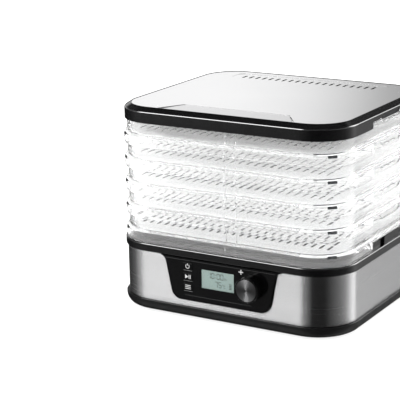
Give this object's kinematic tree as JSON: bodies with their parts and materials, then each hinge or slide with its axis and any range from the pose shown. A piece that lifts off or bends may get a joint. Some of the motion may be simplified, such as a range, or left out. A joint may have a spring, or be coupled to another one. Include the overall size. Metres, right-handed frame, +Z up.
{
  "type": "food dehydrator",
  "caption": "Countertop food dehydrator: steel-wrapped fan base with a display, keys and a knob, a stack of clear lift-off trays, and a steel-topped lid with side grips.",
  "frame": {"origin": "under the middle of the bounding box, on the surface that the feet stand on", "axes": "+Z up; the control panel and knob face -Y; +X is to the right seen from the front"},
  "size_m": [0.3434, 0.3148, 0.2789],
  "materials": {
    "black_gloss": "polished black moulding",
    "black_matt": "fine-grained black moulding",
    "steel": "brushed along the length of the sheet",
    "clear": "clear, polished",
    "lens": "glossy window",
    "lcd": "grey-green display",
    "board": "solder resist",
    "knob_metal": "dark, spun face",
    "zinc": "zinc plated",
    "heater": "heat-tinted sheath",
    "rubber": "matt",
    "fan_plastic": "glass-filled, dark grey"
  },
  "bodies": {
    "base": {"base_pan": "black_matt", "steel_wrap": "steel", "base_deck": "black_gloss", "outlet_grille": "black_matt", "control_panel": "black_gloss", "lcd_lens": "lens", "lcd_module": "lcd", "control_board": "board", "power_switch": "black_matt", "start_switch": "black_matt", "set_switch": "black_matt", "encoder_body": "zinc", "fan_motor": "zinc", "motor_bracket": "zinc", "fan_duct": "zinc", "heater_support": "zinc", "heating_element": "heater", "thermal_cutout": "black_matt", "thermal_fuse": "zinc", "temperature_probe": "steel", "power_board": "board", "heater_relay": "black_matt", "transformer": "fan_plastic", "cord_gland": "rubber", "foot_1": "rubber", "foot_2": "rubber", "foot_3": "rubber", "foot_4": "rubber", "base_screw_1": "zinc", "base_screw_2": "zinc", "base_screw_3": "zinc", "base_screw_4": "zinc", "board_screw_1": "zinc", "board_screw_2": "zinc", "board_screw_3": "zinc", "board_screw_4": "zinc", "bracket_screw_1": "zinc", "bracket_screw_2": "zinc"},
    "power_key": {"power_key": "black_gloss"},
    "start_key": {"start_key": "black_gloss"},
    "set_key": {"set_key": "black_gloss"},
    "knob": {"control_knob": "knob_metal", "encoder_shaft": "zinc"},
    "fan": {"motor_shaft": "steel", "fan_impeller": "fan_plastic"},
    "tray_1": {"tray_1": "clear"},
    "tray_2": {"tray_2": "clear"},
    "tray_3": {"tray_3": "clear"},
    "tray_4": {"tray_4": "clear"},
    "tray_5": {"tray_5": "clear"},
    "lid": {"lid_frame": "black_gloss", "lid_seal": "rubber", "lid_plate": "steel", "lid_liner": "black_matt", "lid_screw_1": "zinc", "lid_screw_2": "zinc", "lid_screw_3": "zinc", "lid_screw_4": "zinc"}
  },
  "joints": [
    {"name": "tray_1_lift", "type": "slide", "parent": "base", "child": "tray_1", "axis": [0, 0, 1], "range_m": [0, 0.06]},
    {"name": "tray_2_lift", "type": "slide", "parent": "tray_1", "child": "tray_2", "axis": [0, 0, 1], "range_m": [0, 0.06]},
    {"name": "tray_3_lift", "type": "slide", "parent": "tray_2", "child": "tray_3", "axis": [0, 0, 1], "range_m": [0, 0.06]},
    {"name": "tray_4_lift", "type": "slide", "parent": "tray_3", "child": "tray_4", "axis": [0, 0, 1], "range_m": [0, 0.06]},
    {"name": "tray_5_lift", "type": "slide", "parent": "tray_4", "child": "tray_5", "axis": [0, 0, 1], "range_m": [0, 0.06]},
    {"name": "lid_lift", "type": "slide", "parent": "tray_5", "child": "lid", "axis": [0, 0, 1], "range_m": [0, 0.06]},
    {"name": "power_press", "type": "slide", "parent": "base", "child": "power_key", "axis": [0, 1, 0], "range_m": [0, 0.0006], "stiffness_N_per_m": 900},
    {"name": "start_press", "type": "slide", "parent": "base", "child": "start_key", "axis": [0, 1, 0], "range_m": [0, 0.0006], "stiffness_N_per_m": 900},
    {"name": "set_press", "type": "slide", "parent": "base", "child": "set_key", "axis": [0, 1, 0], "range_m": [0, 0.0006], "stiffness_N_per_m": 900},
    {"name": "knob_turn", "type": "hinge", "parent": "base", "child": "knob", "pos_m": [0.047, -0.14225, 0.0597], "axis": [0, -1, 0], "continuous": true},
    {"name": "fan_spin", "type": "hinge", "parent": "base", "child": "fan", "pos_m": [0, 0.01515, 0.057], "axis": [0, 0, 1], "continuous": true}
  ]
}
